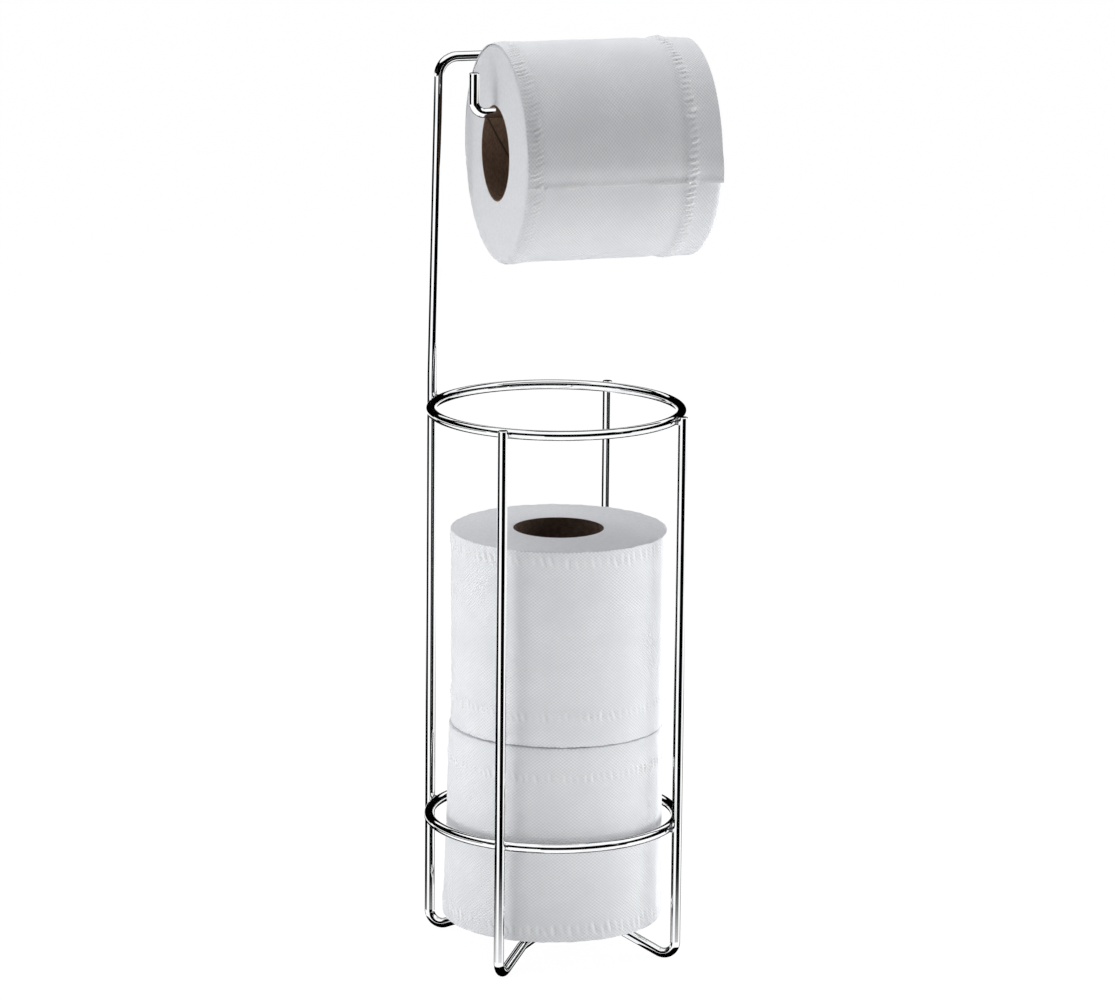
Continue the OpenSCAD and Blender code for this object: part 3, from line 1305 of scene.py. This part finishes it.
@dataclass
class Core:
    """A cardboard core, wound from a strip whose seam runs round it as a spiral step."""

    name: str
    node: str
    body: Body
    place: Matrix
    bore_d: float
    finish: bpy.types.Material
    seam_at: float
    mirrored: bool = True
    wall: float = 0.8
    step: float = 0.22
    seam_half: float = 0.9
    glue: float = 0.05
    ease: float = 0.2
    columns: int = 192
    rows: int = 110

    def build(self) -> bpy.types.Object:
        """Spins the wall, raises the seam and hands the core over.

        Returns:
            The finished core.
        """
        inner, outer, ease = self.bore_d / 2, self.bore_d / 2 + self.wall - self.glue, self.ease
        heights = np.linspace(0.15, ROLL_W - 0.15, self.rows).tolist()
        line = [(inner, z) for z in heights]
        line += [(inner + ease, ROLL_W), (outer - ease, ROLL_W), (outer, ROLL_W - ease)]
        line += [(outer, ease), (outer - ease, 0.0), (inner + ease, 0.0), line[0]]
        piece = Bench.start_point(self.name, Vector((inner, 0, line[0][1])))
        Bench.draw(line)
        Bench.turn_round(FULL_TURN, self.columns, 4)
        Bench.close()
        self.raise_seam(piece.data)
        self.map_board(piece.data)
        Bench.smooth(piece, 50)
        piece.data.materials.append(self.finish)
        piece.data.transform(self.place)
        piece.data.update()
        piece.visible_glossy = self.mirrored
        hand_over(piece, self.body, self.node)
        return piece

    def raise_seam(self, mesh: bpy.types.Mesh) -> None:
        """Steps the inner wall along the spiral seam.

        Args:
            mesh: The core's mesh, in its own frame.
        """
        co = read_points(mesh)
        radius = np.hypot(co[:, 0], co[:, 1])
        angle = np.arctan2(co[:, 1], co[:, 0])
        inside = radius < self.bore_d / 2 + self.ease / 2
        turn = (angle / FULL_TURN + (co[:, 2] - self.seam_at) / SEAM_LEAD) % 1
        past = np.minimum(turn, 1 - turn) * math.pi * self.bore_d
        seam = self.step * np.exp(-((past / self.seam_half) ** 2))
        co[:, :2] *= np.where(inside, (radius + seam) / radius, 1)[:, None]
        write_points(mesh, co)

    def map_board(self, mesh: bpy.types.Mesh) -> None:
        """Maps the board in millimetres around and along from its seam's start.

        Args:
            mesh: The core's mesh, in its own frame.
        """
        quads, angle = wrapped_quads(mesh)
        write_map(mesh, angle / FULL_TURN * CORE_GIRTH, quads[:, :, 2] - self.seam_at)


@dataclass(frozen=True)
class Spare:
    """What differs between the two rolls in the basket, in millimetres."""

    level: str
    body: Body
    at: tuple[float, float, float]
    radius: float
    lie: Lie
    seed: int
    slump: Slump
    seam_at: float

    def place(self) -> Matrix:
        """Gives the matrix that stands the roll in the basket, in metres."""
        return Matrix.Translation(Vector(self.at) * MM)


@dataclass
class Rolls:
    """The three rolls: one on the hook and two in the basket."""

    tissue: bpy.types.Material
    layers: bpy.types.Material
    board: bpy.types.Material
    # painted shade: a darker copy of the board for the spares' cores
    painted_shade_board: bpy.types.Material
    hung_r: float = 54.4
    hung_bore: float = 45.8
    spare_bore: float = 44.0
    spare_edge: float = 2.2
    spare_rim: float = 0.45
    core_wall: float = 0.8
    front_crimp: Crimp = Crimp(
        5.4, half=2.5, pitch=2.4, slant=0.5, height=0.5,
        swell=0.12, groove=-0.16, groove_at=9.4, groove_half=0.6,
    )
    rear_crimp: Crimp = Crimp(
        84.6, half=2.3, pitch=3.1, slant=0.24, height=0.6,
        swell=0.32, groove=0.5, groove_at=79.2, groove_half=2.2,
    )
    low_crimp: Crimp = Crimp(
        15.5, half=2.4, pitch=3.6, slant=0.22, height=0.42,
        swell=0.14, groove=0.2, groove_at=20.6, groove_half=2.0,
    )
    top_crimp: Crimp = Crimp(94.2, half=3.0, pitch=4.1, slant=0.22, height=0.46)
    spares: tuple[Spare, ...] = (
        Spare(
            "upper", Body.UPPER_ROLL, at=(1.6, 0.7, 117.2), radius=54.2, lie=Lie.UPRIGHT, seed=11,
            slump=Slump(bottom_swell=-0.5, bottom_lean=0.2, top_swell=0.2, top_lean=0.4),
            seam_at=10,
        ),
        Spare(
            "lower", Body.LOWER_ROLL, at=(0, 0, 17.0), radius=55.0, lie=Lie.UPSIDE_DOWN, seed=17,
            slump=Slump(bottom_swell=0.8, bottom_lean=0.1, top_swell=-0.8, top_lean=1.3),
            seam_at=35,
        ),
    )

    def hung_place(self) -> Matrix:
        """Places the hung roll's own frame on the hook: X backwards, Y up, Z along it.

        Returns:
            The placing matrix, in metres.
        """
        at = on_hook(HUNG_ROLL_ALONG - ROLL_W / 2, 0, HUNG_AXIS_Z) * MM
        turn = Matrix((HOOK_SIDE, Vector((0, 0, 1)), HOOK_DIR)).transposed().to_4x4()
        return Matrix.Translation(at) @ turn

    def build_hung(self) -> None:
        """Builds the roll on the hook with its loose sheet."""
        place = self.hung_place()
        bore = self.hung_bore / 2 + self.core_wall
        roll = WoundRoll(
            name="hung_roll_winding",
            node="hung_roll_paper",
            body=Body.HUNG_ROLL,
            place=place,
            radius=self.hung_r,
            bore=bore,
            lie=Lie.UPRIGHT,
            sheet_finish=self.tissue,
            end_finish=self.layers,
            seed=3,
            crimps=[self.front_crimp, self.rear_crimp],
        )
        winding = roll.build()
        sheet = LooseSheet(roll).build()
        Bench.pick(sheet, winding)
        bpy.ops.object.join()
        Bench.smooth(winding, 60)
        roll.deliver(winding)
        Core(
            name="hung_roll_tube",
            node="hung_roll_core",
            body=Body.HUNG_ROLL,
            place=place,
            bore_d=self.hung_bore,
            finish=self.board,
            seam_at=10.6,
        ).build()

    def wind_spare(self, spare: Spare) -> None:
        """Builds the wound paper of one roll in the basket."""
        roll = WoundRoll(
            name=f"{spare.level}_roll_winding",
            node=f"{spare.level}_roll_paper",
            body=spare.body,
            place=spare.place(),
            radius=spare.radius,
            bore=self.spare_bore / 2 + self.core_wall,
            lie=spare.lie,
            sheet_finish=self.tissue,
            end_finish=self.layers,
            seed=spare.seed,
            crimps=[self.low_crimp, self.top_crimp],
            edge=self.spare_edge,
            rim=self.spare_rim,
            slump=spare.slump,
        )
        roll.deliver(roll.build())

    def wind_spare_core(self, spare: Spare) -> None:
        """Builds the core of one roll in the basket."""
        Core(
            name=f"{spare.level}_roll_tube",
            node=f"{spare.level}_roll_core",
            body=spare.body,
            place=spare.place(),
            bore_d=self.spare_bore,
            # The darker board paints the shade inside the spares' bores.
            finish=self.painted_shade_board,
            seam_at=spare.seam_at,
            mirrored=False,
        ).build()

    def build_spares(self) -> None:
        """Builds the two rolls in the basket."""
        for spare in self.spares:
            self.wind_spare(spare)
        for spare in self.spares:
            self.wind_spare_core(spare)


@dataclass(frozen=True)
class Flag:
    """A black flag in the surround, which draws a dark line in the chrome.

    Its limits to the camera's right and above the level are in degrees, like its soft edge.
    """

    spread: Limits
    heights: Limits
    soft: float = 0.8

    def mask(self, graph: Graph, turn: Value, rise: Value) -> Value:
        """Gives the flag's mask.

        Args:
            graph: The surround's graph.
            turn: Angle to the camera's right, in radians.
            rise: Angle above the level, in radians.

        Returns:
            The mask, 1 on the flag.
        """
        mask: Value = 1.0
        soft = math.radians(self.soft)
        for value, limits in ((turn, self.spread), (rise, self.heights)):
            low, high = (math.radians(limit) for limit in limits)
            starts = graph.span(value, low - soft, low + soft, 0, 1)
            ends = graph.span(value, high - soft, high + soft, 1, 0)
            mask = graph.math("MULTIPLY", mask, graph.math("MULTIPLY", starts, ends))
        return mask


@dataclass(frozen=True)
class SoftBox:
    """A soft box that points at the holder, placed by angles from the camera's own.

    Its turn to the right, its rise and the spread of its light are in degrees, its distance
    and its side in metres, its power in watts and the height that it points at in millimetres.
    """

    name: str
    turn: float
    rise: float
    away: float
    side: float
    power: float
    aim_z: float = 230
    spread: float = 180

    def hang(self, yaw: float) -> None:
        """Hangs the lamp, seen by nothing that mirrors.

        Args:
            yaw: The camera's own angle around the holder, in radians.
        """
        data = bpy.data.lights.new(self.name, "AREA")
        data.shape = "SQUARE"
        data.size, data.energy, data.spread = self.side, self.power, math.radians(self.spread)
        lamp = bpy.data.objects.new(self.name, data)
        bpy.context.scene.collection.objects.link(lamp)
        a, e = yaw + math.radians(self.turn), math.radians(self.rise)
        way = Vector((math.sin(a) * math.cos(e), -math.cos(a) * math.cos(e), math.sin(e)))
        lamp.location = Vector((0, 0, self.aim_z)) * MM + way * self.away
        lamp.rotation_euler = way.to_track_quat("Z", "Y").to_euler()
        lamp.visible_glossy = False
        lamp.visible_camera = False


@dataclass
class Studio:
    """Pale floor, soft light, black flags and painted foot shadows that only the chrome mirrors,
    and the camera.
    """

    stand_at: tuple[float, float, float] = (999.2, -2413.1, 824.7)
    yaw: float = math.radians(22.47)
    pitch: float = math.radians(12.80)
    roll: float = math.radians(0.57)
    focal_px: float = 5351
    frame_px: float = 1115
    sensor: float = 36
    floor_size: float = 60
    foot_at: float = 61
    foot_flag_r: float = 17
    foot_flag_z: float = 0.1
    floor_dark: Colour = (0.86, 0.86, 0.86, 1)
    floor_light: Colour = (0.88, 0.88, 0.88, 1)
    floor_glow: float = 1.05
    glow_share: float = 0.92
    mirror_white: float = 1.05
    tent: Limits = (0.615, 0.69)
    flags: tuple[Flag, ...] = (
        Flag((-60, 60), (-5.5, 40)),
        Flag((-145, -60), (1, 38)),
        Flag((60, 145), (-5.5, 31)),
        Flag((-10, 70), (-17.5, -5.0)),
        Flag((-130, -64), (-17.5, -6.6)),
        Flag((128, 182), (-77, -14.5)),
        Flag((-182, -128), (-77, -14.5)),
        Flag((135, 182), (-6, 26)),
        Flag((-182, -135), (-6, 26)),
        Flag((130, 182), (37, 57)),
        Flag((-182, -130), (37, 57)),
    )
    lamps: tuple[SoftBox, ...] = (
        SoftBox("left_soft_box", -70, 30, 0.9, 0.6, 1.62, aim_z=300),
        SoftBox("right_soft_box", 92, 2, 1.0, 0.6, 3.35),
        SoftBox("top_soft_box", 170, 81, 1.2, 0.5, 5.3),
        SoftBox("low_left_fill", -38, -4, 0.6, 0.3, 0.29, aim_z=115, spread=80),
        SoftBox("low_left_side", -70, 0, 0.8, 0.4, 0.21, aim_z=110, spread=60),
        SoftBox("right_front_fill", 60, 0, 0.8, 0.4, 0.5, aim_z=120, spread=80),
        SoftBox("low_right_side", 95, 0, 0.8, 0.4, 0.13, aim_z=110, spread=60),
        SoftBox("low_right_back", 125, 4, 0.8, 0.4, 0.22, aim_z=110, spread=60),
    )

    def place_camera(self) -> None:
        """Places the camera where the photograph was taken from."""
        data = bpy.data.cameras.new("studio_camera")
        data.sensor_width = self.sensor
        data.lens = self.focal_px / self.frame_px * self.sensor
        data.clip_start, data.clip_end = 0.05, 100
        camera = bpy.data.objects.new("studio_camera", data)
        bpy.context.scene.collection.objects.link(camera)
        a, e = self.yaw, self.pitch
        away = Vector((-math.sin(a) * math.cos(e), math.cos(a) * math.cos(e), -math.sin(e)))
        right = Vector((math.cos(a), math.sin(a), 0))
        up = right.cross(away)
        tilt_c, tilt_s = math.cos(self.roll), math.sin(self.roll)
        x = right * tilt_c + up * tilt_s
        y = up * tilt_c - right * tilt_s
        turn = Matrix((x, y, -away)).transposed().to_4x4()
        camera.matrix_world = Matrix.Translation(Vector(self.stand_at) * MM) @ turn
        bpy.context.scene.camera = camera

    def lay_floor(self) -> None:
        """Lays a wide pale floor that keeps the soft shadow and fades into the white."""
        Bench.clear()
        bpy.ops.mesh.primitive_plane_add(size=self.floor_size)
        floor = bpy.context.object
        floor.name = floor.data.name = "studio_floor"
        material = bpy.data.materials.new("pale_floor")
        material.use_nodes = True
        graph = Graph(material.node_tree)
        path = graph.add("LightPath").outputs["Is Camera Ray"]
        place = graph.add("TexCoord").outputs["Object"]
        grain = graph.span(graph.noise(place, 9, 3), 0.3, 0.7, 0, 1)
        tone = graph.mix(grain, self.floor_dark, self.floor_light)
        matt = graph.add("BsdfDiffuse", tone)
        glow = graph.add("Emission", (1, 1, 1, 1), self.floor_glow)
        share = graph.math("MULTIPLY", path, self.glow_share)
        seen = graph.add("MixShader", share, matt.outputs[0], glow.outputs[0])
        graph.add("OutputMaterial", seen.outputs[0])
        floor.data.materials.append(material)
        floor.visible_glossy = False

    def lay_foot_flags(self) -> None:
        """Lays a black disc under each foot, a painted contact shadow which only the chrome of
        the feet mirrors.
        """
        material = bpy.data.materials.new("foot_flag")
        material.use_nodes = True
        graph = Graph(material.node_tree)
        # Painted contact shadow: black, seen only in the feet's chrome.
        black = graph.add("BsdfDiffuse", (0.0, 0.0, 0.0, 1))
        graph.add("OutputMaterial", black.outputs[0])
        for x, y in ((-1, 0), (0, -1), (1, 0), (0, 1)):
            Bench.clear()
            at = Vector((x * self.foot_at, y * self.foot_at, self.foot_flag_z)) * MM
            bpy.ops.mesh.primitive_circle_add(
                vertices=48, radius=self.foot_flag_r * MM, fill_type="NGON", location=at
            )
            disc = bpy.context.object
            disc.name = disc.data.name = f"foot_flag_{x}_{y}".replace("-", "m")
            disc.data.materials.append(material)
            disc.visible_camera = disc.visible_diffuse = disc.visible_shadow = False

    def hang_surround(self) -> None:
        """Sets the surround, which is white to the camera and a light tent to matt surfaces.

        Polished surfaces mirror a white tent with black flags that draw their dark lines.
        """
        world = bpy.data.worlds.new("light_tent")
        bpy.context.scene.world = world
        world.use_nodes = True
        graph = Graph(world.node_tree)
        way = graph.add("TexCoord").outputs["Generated"]
        to_camera = (math.sin(self.yaw), -math.cos(self.yaw), 0)
        to_right = (math.cos(self.yaw), math.sin(self.yaw), 0)
        front = graph.add("VectorMath", way, to_camera, operation="DOT_PRODUCT").outputs["Value"]
        right = graph.add("VectorMath", way, to_right, operation="DOT_PRODUCT").outputs["Value"]
        height = graph.add("SeparateXYZ", way).outputs[2]
        turn = graph.math("ARCTAN2", right, front)
        rise = graph.math("ARCSINE", height)
        black: Value = 0.0
        for flag in self.flags:
            black = graph.math("MAXIMUM", black, flag.mask(graph, turn, rise))
        white = graph.math("SUBTRACT", 1.0, black)
        mirrored = graph.math("MULTIPLY", white, self.mirror_white)
        dim = graph.span(front, -0.05, 0.5, 1.0, 0.0)
        tent = graph.math("MULTIPLY", dim, graph.span(height, 0, 0.5, *self.tent))
        path = graph.add("LightPath")
        glossy = graph.mix(path.outputs["Is Glossy Ray"], self.grey(graph, tent),
                           self.grey(graph, mirrored))
        seen = graph.mix(path.outputs["Is Camera Ray"], glossy, (1, 1, 1, 1))
        light = graph.add("Background", seen, 1.0)
        graph.add("OutputWorld", light.outputs[0])

    def grey(self, graph: Graph, value: bpy.types.NodeSocket) -> bpy.types.NodeSocket:
        """Makes a grey of one value."""
        return graph.add("CombineColor", value, value, value).outputs[0]

    def build(self) -> None:
        """Builds the whole studio."""
        self.place_camera()
        self.lay_floor()
        self.lay_foot_flags()
        self.hang_surround()
        for lamp in self.lamps:
            lamp.hang(self.yaw)
        bpy.context.scene.view_settings.view_transform = "Standard"
        log.info("studio: ready")


def main() -> None:
    """Builds the studio, the stand and the rolls."""
    logging.basicConfig(level=logging.INFO, format="%(name)s %(message)s")
    Studio().build()
    Stand(Chrome().make(), WeldBead().make()).build()
    # A darker copy of the core board, as painted shade inside the spares' cores
    painted_shade_finish = CoreBoard(
        name="core_board_painted_shade",
        board=(0.06, 0.037, 0.024, 1),
        fibre=(0.085, 0.055, 0.038, 1),
        speck=(0.025, 0.016, 0.011, 1),
    )
    rolls = Rolls(
        EmbossedTissue().make(), CutLayers().make(), CoreBoard().make(), painted_shade_finish.make()
    )
    rolls.build_hung()
    rolls.build_spares()


if __name__ == "__main__":
    main()
